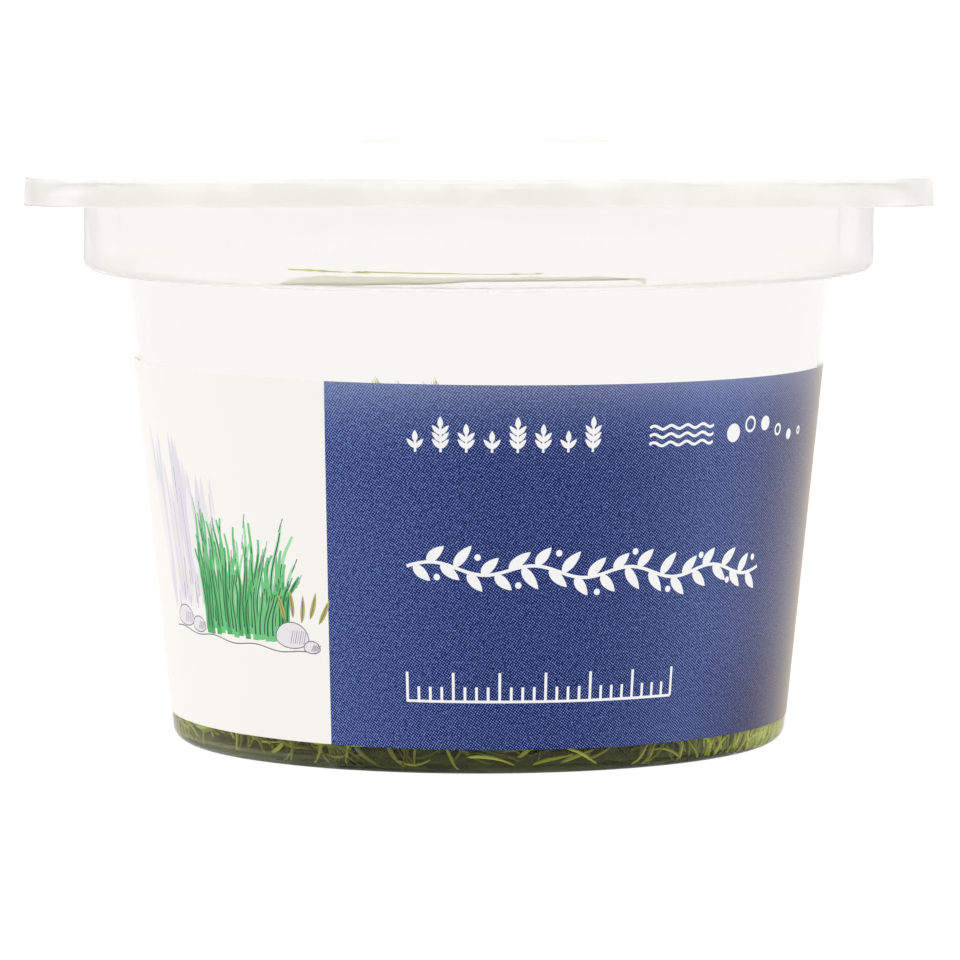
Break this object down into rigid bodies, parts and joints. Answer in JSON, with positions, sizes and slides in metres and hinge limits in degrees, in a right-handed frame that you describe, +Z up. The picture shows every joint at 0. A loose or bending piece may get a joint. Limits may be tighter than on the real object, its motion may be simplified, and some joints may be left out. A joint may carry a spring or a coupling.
{
  "type": "cup of grass-leaved bladderwort",
  "caption": "Clear lidded culture cup with a stepped collar and square flange, a printed wrap label, and a mat of thin-leaved carpeting water plants rooted in jelly inside.",
  "frame": {"origin": "centre of the cup's foot, on the surface that the cup stands on", "axes": "+Z up along the cup's axis, -Y towards the front of the label, +X to the right as seen from the front"},
  "size_m": [0.0798, 0.0798, 0.054],
  "materials": {
    "clear_cup_plastic": "clear to slightly milky thermoformed polypropylene, smooth and glossy",
    "clear_film": "thin clear peel film, glossy, crinkled at its margin",
    "printed_label": "coated label stock with a satin sheen, printed deep blue and warm white",
    "jelly": "wet clear nutrient jelly, dark olive in depth",
    "runners": "wet tangled plant stems, dark olive to yellow green",
    "leaves": "moist thin leaf, yellow green, slightly see-through"
  },
  "bodies": {
    "root": {"cup": "clear_cup_plastic", "peel_film": "clear_film", "label": "printed_label", "nutrient_jelly": "jelly", "runner_mat": "runners", "leaf_tuft_1": "leaves", "leaf_tuft_2": "leaves", "leaf_tuft_3": "leaves", "leaf_tuft_4": "leaves", "leaf_tuft_5": "leaves", "leaf_tuft_6": "leaves", "leaf_tuft_7": "leaves"}
  },
  "joints": []
}
